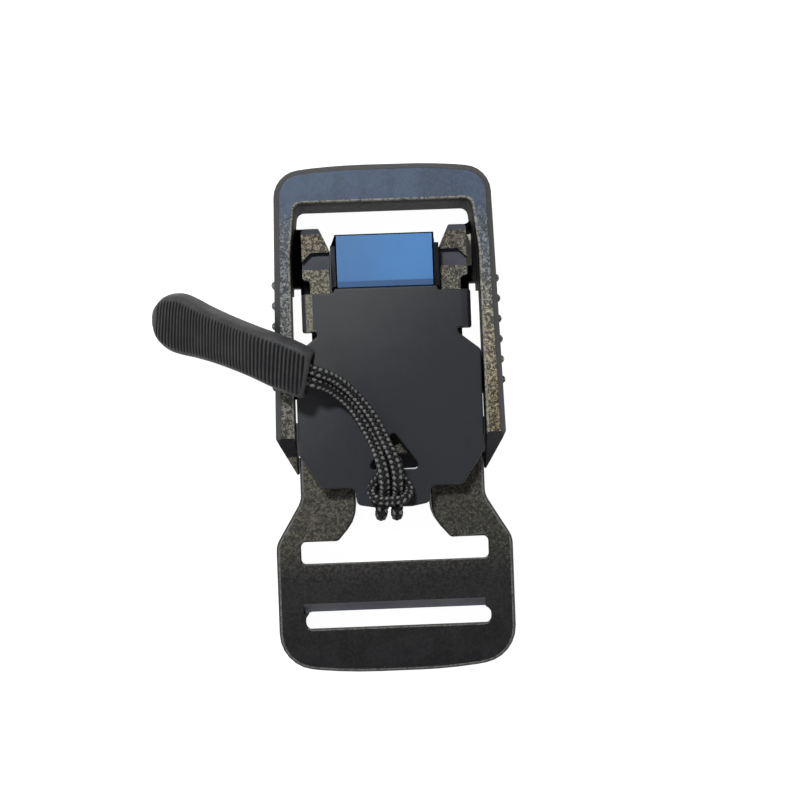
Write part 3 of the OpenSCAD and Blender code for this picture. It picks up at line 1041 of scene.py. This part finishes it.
@dataclass
class PullTab:
    """The rubber pull tab on the cord's two ends, with cross ribs on its broad sides."""

    mouth_mm: Point = (-10.95, 6.48, 12.46)
    heading: float = 154.0
    veer: float = 3.8
    roll: float = 25.0
    lean: float = 8.0
    lean_mm: float = 15.0
    falls: Sequence[Pair] = ((0, 7), (5, 16), (10, 31), (18, 31), (27, 12))
    power: float = 4.0
    rows: Sequence[Point] = (
        (0, 3.3, 1.15), (0.25, 3.42, 1.4), (1.1, 3.52, 1.72), (4.5, 3.6, 1.77),
        (8.5, 3.45, 1.81), (12.5, 3.47, 1.84), (15.5, 3.6, 1.86), (18.5, 3.85, 1.88),
        (21, 4.2, 1.89), (23, 4.3, 1.84), (24.7, 3.85, 1.7), (26, 3, 1.4),
        (26.9, 1.6, 0.9), (27.3, 0.7, 0.4),
    )
    rib_pitch_mm: float = 0.588
    rib_depth_mm: float = 0.13
    rib_lean: float = 6.0
    ribbed_mm: Pair = (0.3, 26.4)
    rib_end_mm: float = 0.3
    rib_brow: Pair = (0.8, 0.92)
    step_mm: float = 0.09
    sides: int = 64
    recess_mm: float = 0.9
    wall_mm: float = 0.3

    def turn(self, s: float) -> float:
        """The tab's direction from above, at a distance from its mouth."""
        return radians(self.heading + self.veer * s / self.rows[-1][0])

    def fall(self, s: float) -> float:
        """The tab's slope downwards at a distance from its mouth."""
        for (a, low), (b, high) in zip(self.falls, self.falls[1:]):
            if s <= b:
                return radians(low + (high - low) * (s - a) / (b - a))
        return radians(self.falls[-1][1])

    def head(self, s: float) -> Vector:
        """The tab's heading at a distance from its mouth."""
        turn, fall = self.turn(s), self.fall(s)
        return Vector((cos(turn) * cos(fall), sin(turn) * cos(fall), -sin(fall)))

    def spine(self, s: float) -> Vector:
        """The tab's middle at a distance from its mouth, in mm."""
        steps = 40
        total = sum((self.head(s * (i + 0.5) / steps) for i in range(steps)), Vector())
        return Vector(self.mouth_mm) + total * s / steps

    def halves(self, s: float) -> Pair:
        """The tab's half width and half thickness, on a curve through its rows.

        Args:
            s: Distance from the mouth.

        Returns:
            Both, in mm.
        """
        rows = self.rows
        i = next(k for k in range(len(rows) - 1) if s <= rows[k + 1][0] or k == len(rows) - 2)
        a, b, c, d = (Vector(rows[min(max(k, 0), len(rows) - 1)]) for k in range(i - 1, i + 3))
        span = c[0] - b[0]
        t = (s - b[0]) / span
        into = (c - a) * span / max(c[0] - a[0], span)
        out = (d - b) * span / max(d[0] - b[0], span)
        lift = b + t * (into + t * (3 * (c - b) - 2 * into - out + t * (into + out - 2 * (c - b))))
        return lift[1], lift[2]

    def sunk(self, s: float, across: float, proud: float) -> float:
        """How far the skin lies under the tops of the ribs.

        Args:
            s: Distance from the mouth.
            across: Place across the tab, in mm.
            proud: Share of the half thickness, 1 where a broad side is flat.

        Returns:
            The depth, in mm.
        """
        (low, high), (first, last) = self.ribbed_mm, self.rib_brow
        shares = ((s - low) / self.rib_end_mm, (high - s) / self.rib_end_mm)
        flat = (abs(proud) - first) / (last - first)
        along = s + across * tan(radians(self.rib_lean))
        wave = 0.5 + 0.5 * cos(tau * along / self.rib_pitch_mm)
        return self.rib_depth_mm * wave * prod(min(max(x, 0), 1) for x in (*shares, flat))

    def build(self) -> Piece:
        """Builds the tab.

        Returns:
            The piece.
        """
        length = self.rows[-1][0]
        count = round(length / self.step_mm)
        tilt = radians(self.roll)
        stations = []
        for i in range(count + 1):
            s = length * i / count
            head, turn = self.head(s), self.turn(s)
            level = Vector((-sin(turn), cos(turn), 0))
            wide = cos(tilt) * level - sin(tilt) * head.cross(level)
            leaning = wide - tan(radians(self.lean)) * max(0, 1 - s / self.lean_mm) * head
            stations.append((s, self.spine(s), leaning, head.cross(wide), *self.halves(s)))

        def corner(column: int) -> list[float]:
            """A side's place across and upwards, as shares of the halves."""
            angle = tau * (column + 0.5) / self.sides
            return [copysign(abs(c) ** (2 / self.power), c) for c in (cos(angle), sin(angle))]

        def place(row: int, column: int) -> Vector:
            """A point of the tab's skin at a row and a column."""
            s, centre, wide, thick, half_w, half_t = stations[row]
            across, proud = corner(column)
            deep = copysign(self.sunk(s, half_w * across, proud), proud)
            return (centre + half_w * across * wide + (half_t * proud - deep) * thick) * MM

        def crest(row: int, column: int) -> float:
            """How near a point is to the ribs' tops, 1 where there are none."""
            s, _, _, _, half_w, _ = stations[row]
            across, proud = corner(column)
            return 1 - self.sunk(s, half_w * across, proud) / self.rib_depth_mm

        bm = swept(count, self.sides, place, crest)
        ends = (f for f in bm.faces if len(f.verts) > 4)
        mouth = max(ends, key=lambda f: f.calc_center_median().x)
        bmesh.ops.inset_individual(bm, faces=[mouth], thickness=self.wall_mm * MM)
        pushed = bmesh.ops.extrude_discrete_faces(bm, faces=[mouth])["faces"]
        inwards = self.head(0) * self.recess_mm * MM
        bmesh.ops.translate(bm, verts=pushed[0].verts, vec=inwards)
        names = ("pull_tab_grip", "tab_rubber", "pull_tab")
        return publish(bm, *names, [TabRubber()], crease=50, even=False)


@dataclass
class BraidedCord:
    """The doubled cord: a round eight-yarn braid, hitched on the plate and held in the tab."""

    diameter_mm: float = 1.6
    carriers: int = 4
    lead_rows: int = 32
    yarn_half_mm: Pair = (0.27, 0.14)
    wave_mm: float = 0.09
    bead_power: float = 1.1
    # each twist's share of the painted crest highlight
    bead_shares: Pair = (0.4, 1)
    sides: int = 8
    core_sides: int = 10
    tucked_mm: float = 0.9
    mouth_heading: Point = (-0.8921, 0.4351, -0.1219)
    down_mm: Sequence[Row] = (
        (-10.48, 7.09, 12.83, 0.98), (-10.04, 6.87, 12.89, 0.98), (-9.2, 6.58, 12.8, 0.98),
        (-8.2, 6.18, 12.25, 0.98), (-7.05, 5.5, 11.45, 0.98), (-5.45, 4.15, 10.4, 0.98),
        (-4, 2.5, 9.85, 0.98), (-2.7, 0.7, 9.65, 0.98), (-1.65, -1.15, 9.7, 1),
        (-0.75, -3.25, 10.1, 1.03), (0.1, -5.3, 10.55, 1.05), (0.5, -7, 10.62, 1.05),
        (0.62, -8.35, 10.55, 1.05), (0.62, -9.4, 10, 1.05), (0.57, -10.4, 9.15, 1.05),
        (0.5, -11.6, 8.99, 1.05), (0.45, -12.9, 8.95, 1.06), (0.43, -13.5, 7, 1.08),
        (0.45, -12.95, 5.05, 1.07), (0.5, -11.4, 4.97, 1.06), (0.62, -7.7, 4.97, 1.05),
        (0.68, -6.1, 5.35, 1.02),
    )
    hitch_mm: Sequence[Row] = (
        (0.7, -5.9, 7, 1), (0.73, -6.1, 8.4, 0.92), (0.8, -6.85, 8.97, 0.86),
        (0.92, -7.65, 8.9, 0.86), (1.32, -8.35, 8.87, 0.86), (1.9, -8.95, 8.85, 0.84),
        (2.25, -9.75, 9.05, 0.83), (2.08, -10.5, 9.6, 0.83), (1.5, -11.05, 10.35, 0.83),
        (0.55, -11.25, 10.62, 0.83), (-0.4, -11.25, 10.64, 0.83),
    )
    back_mm: Sequence[Row] = (
        (-1.5, -6.1, 5.35, 1.02), (-1.55, -7.7, 4.97, 1.05), (-1.65, -11.4, 4.97, 1.06),
        (-1.78, -12.95, 5.05, 1.07), (-1.8, -13.5, 7, 1.08), (-1.68, -12.9, 8.95, 1.06),
        (-1.4, -11.6, 8.99, 1.05), (-1.22, -10.4, 9.15, 1.05), (-1.14, -9.4, 10, 1.05),
        (-1.17, -8.35, 10.55, 1.05), (-1.35, -7, 10.55, 1.05), (-1.72, -5.5, 10.3, 1.05),
        (-2.3, -3.8, 9.6, 1.03), (-3, -2.2, 9.1, 1), (-3.95, -0.35, 8.95, 0.98),
        (-5.15, 1.65, 8.97, 0.98), (-6.65, 3.3, 9.6, 0.98), (-8.05, 4.42, 10.6, 0.98),
        (-9.1, 5, 11.5, 0.98), (-9.72, 5.16, 11.97, 0.98), (-10.39, 5.37, 12.22, 0.98),
        (-10.84, 5.59, 12.16, 0.98),
    )
    exit_mm: Point = (0, -12.35, 8.1)

    def route(self) -> Route:
        """The cord's whole route, with both ends tucked into the tab's mouth.

        Returns:
            Its way down, half the hitch, the same mirrored, and its way back.
        """
        twice = 2 * self.hitch_mm[-1][0]
        mirrored = ((twice - x, *rest) for x, *rest in reversed(self.hitch_mm[:-1]))
        points = [*self.down_mm, *self.hitch_mm, *mirrored, *self.back_mm]
        tuck = self.tucked_mm * Vector((*self.mouth_heading, 0))
        ends = [tuple(Vector(points[i]) + tuck) for i in (0, -1)]
        return Route([ends[0], *points, ends[1]])

    def yarn(self, stations: Sequence[Station], twist: Twist, index: int) -> Mesh:
        """Winds one yarn, over one of the crossing yarns and under the next.

        Args:
            stations: The cord's stations.
            twist: The way it winds.
            index: Which yarn of that twist it is.

        Returns:
            The yarn, with its crest attribute.
        """
        half_w, half_t = self.yarn_half_mm
        base = self.diameter_mm / 2 - half_t - self.wave_mm
        lead = self.lead_rows * (stations[1].point - stations[0].point).length
        pitch = atan2(tau * base, lead)

        def lift(row: int) -> float:
            """How far the yarn lies over the crossing ones, from -1 to 1."""
            phase = 2 * index + twist.value * 2 * self.carriers * row / self.lead_rows
            return twist.value * cos(pi * phase)

        def place(row: int, column: int) -> Vector:
            """A point of the yarn's skin at a row and a column."""
            at = stations[row]
            angle = tau * (index / self.carriers + twist.value * row / self.lead_rows)
            outwards = cos(angle) * at.side + sin(angle) * at.over
            around = cos(angle) * at.over - sin(angle) * at.side
            along = cos(pitch) * at.heading + twist.value * sin(pitch) * around
            side = tau * column / self.sides
            radius = base + self.wave_mm * lift(row) + half_t * cos(side)
            sideways = half_w * sin(side) * outwards.cross(along)
            return (at.point + at.share * (radius * outwards + sideways)) * MM

        def crest(row: int, column: int) -> float:
            """How much a point is on top of the braid, from 0 to 1."""
            over = (0.5 + 0.5 * lift(row)) ** self.bead_power
            outside = (0.5 + 0.5 * cos(tau * column / self.sides)) ** 0.5
            # scaled by its twist's share of the painted highlight
            return over * outside * self.bead_shares[twist is Twist.LEFT]

        return swept(len(stations) - 1, self.sides, place, crest)

    def core(self, stations: Sequence[Station]) -> Mesh:
        """Makes the round core that shows dark between the yarns.

        Args:
            stations: The cord's stations.

        Returns:
            The core.
        """
        radius = self.diameter_mm / 2 - 2 * self.yarn_half_mm[1] - self.wave_mm

        def place(row: int, column: int) -> Vector:
            """A point of the core's skin at a row and a column."""
            at = stations[row]
            angle = tau * column / self.core_sides
            outwards = cos(angle) * at.side + sin(angle) * at.over
            return (at.point + at.share * radius * outwards) * MM

        return swept(len(stations) - 1, self.core_sides, place)

    def build(self, tab: Piece) -> Piece:
        """Builds the cord.

        Args:
            tab: The pull tab on its ends; not used.

        Returns:
            The piece.
        """
        stations = self.route().stations()
        whole = bmesh.new()
        whole.verts.layers.float.new("crest")
        parts = [self.core(stations)]
        parts += [self.yarn(stations, twist, i) for twist in Twist for i in range(self.carriers)]
        for part in parts:
            mesh = bpy.data.meshes.new("part")
            part.to_mesh(mesh)
            part.free()
            whole.from_mesh(mesh)
            bpy.data.meshes.remove(mesh)
        names = ("braided_cord", "braided_cord", "cord")
        piece = publish(whole, *names, [BraidYarn()], crease=80, even=False)
        path = [station.point * MM for station in stations]
        length = sum((b - a).length for a, b in zip(path, path[1:]))
        LOG.info("cord: %.1f mm long", length / MM)
        [c * MM for c in self.exit_mm]
        return piece


@dataclass(frozen=True)
class SoftLight:
    """A round soft light that faces the buckle."""

    name: str
    place: Point
    size: float
    power: float
    colour: Colour

    def hang(self) -> None:
        """Hangs the light."""
        light = bpy.data.lights.new(self.name, "AREA")
        light.shape = "DISK"
        light.size = self.size
        light.energy = self.power
        light.color = self.colour
        holder = show(self.name, light)
        holder.location = self.place
        holder.rotation_euler = (-Vector(self.place)).to_track_quat("-Z", "Y").to_euler()


@dataclass
class Studio:
    """The camera, with its turns in degrees about Z, Y and X, the floor and the lights."""

    eye_mm: Point = (-3.03, -0.72, 180.6)
    turns: Point = (-2.1, -0.85, -0.35)
    lens_mm: float = 55.17
    shift: Pair = (0.0157, 0.041)
    floor_m: float = 1.5
    ambient: Colour = (0.86, 0.9, 1.0)
    ambient_strength: float = 0.09
    lights: Sequence[SoftLight] = (
        SoftLight("high window", (-0.18, 0.38, 0.57), 0.11, 3.4, (0.94, 0.97, 1)),
        SoftLight("left panel", (-0.6, 0.1, 0.28), 0.4, 0.9, (1, 0.98, 0.95)),
        SoftLight("right panel", (0.6, 0, 0.28), 0.4, 0.65, (1, 0.95, 0.88)),
        SoftLight("front panel", (0.05, -0.6, 0.3), 0.4, 0.85, (0.96, 0.97, 1)),
        SoftLight("back panel", (0, 0.62, 0.28), 0.4, 0.2, (0.94, 0.97, 1)),
    )

    def set_up(self) -> None:
        """Places the camera, the floor and the lights."""
        scene = bpy.context.scene
        camera = bpy.data.cameras.new("camera")
        camera.lens = self.lens_mm
        camera.shift_x, camera.shift_y = self.shift
        camera.clip_start = 0.005
        holder = show("camera", camera)
        holder.location = Vector(self.eye_mm) * MM
        turns = (Matrix.Rotation(radians(d), 3, a) for d, a in zip(self.turns, "ZYX"))
        holder.rotation_euler = reduce(Matrix.__matmul__, turns).to_euler()
        scene.camera = holder
        bm = bmesh.new()
        bmesh.ops.create_grid(bm, x_segments=1, y_segments=1, size=self.floor_m)
        mesh = bpy.data.meshes.new("floor")
        bm.to_mesh(mesh)
        bm.free()
        mesh.transform(Matrix.Translation((0, 0, -0.05 * MM)))
        mesh.materials.append(PaleFloor().make())
        show("floor", mesh)
        world = bpy.data.worlds.new("studio")
        world.use_nodes = True
        sky = world.node_tree.nodes["Background"]
        fill(sky, Color=(*self.ambient, 1), Strength=self.ambient_strength)
        scene.world = world
        scene.view_settings.view_transform = "Standard"
        for light in self.lights:
            light.hang()


def main() -> None:
    """Builds every piece in order."""
    logging.basicConfig(level=logging.INFO, format="%(message)s")
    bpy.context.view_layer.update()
    Studio().set_up()
    tab = PullTab().build()
    BraidedCord().build(tab)
    FrameShell().build()
    LadderLock().build()
    MagnetSeat().build()
    ReleasePlate().build()


if __name__ == "__main__":
    main()
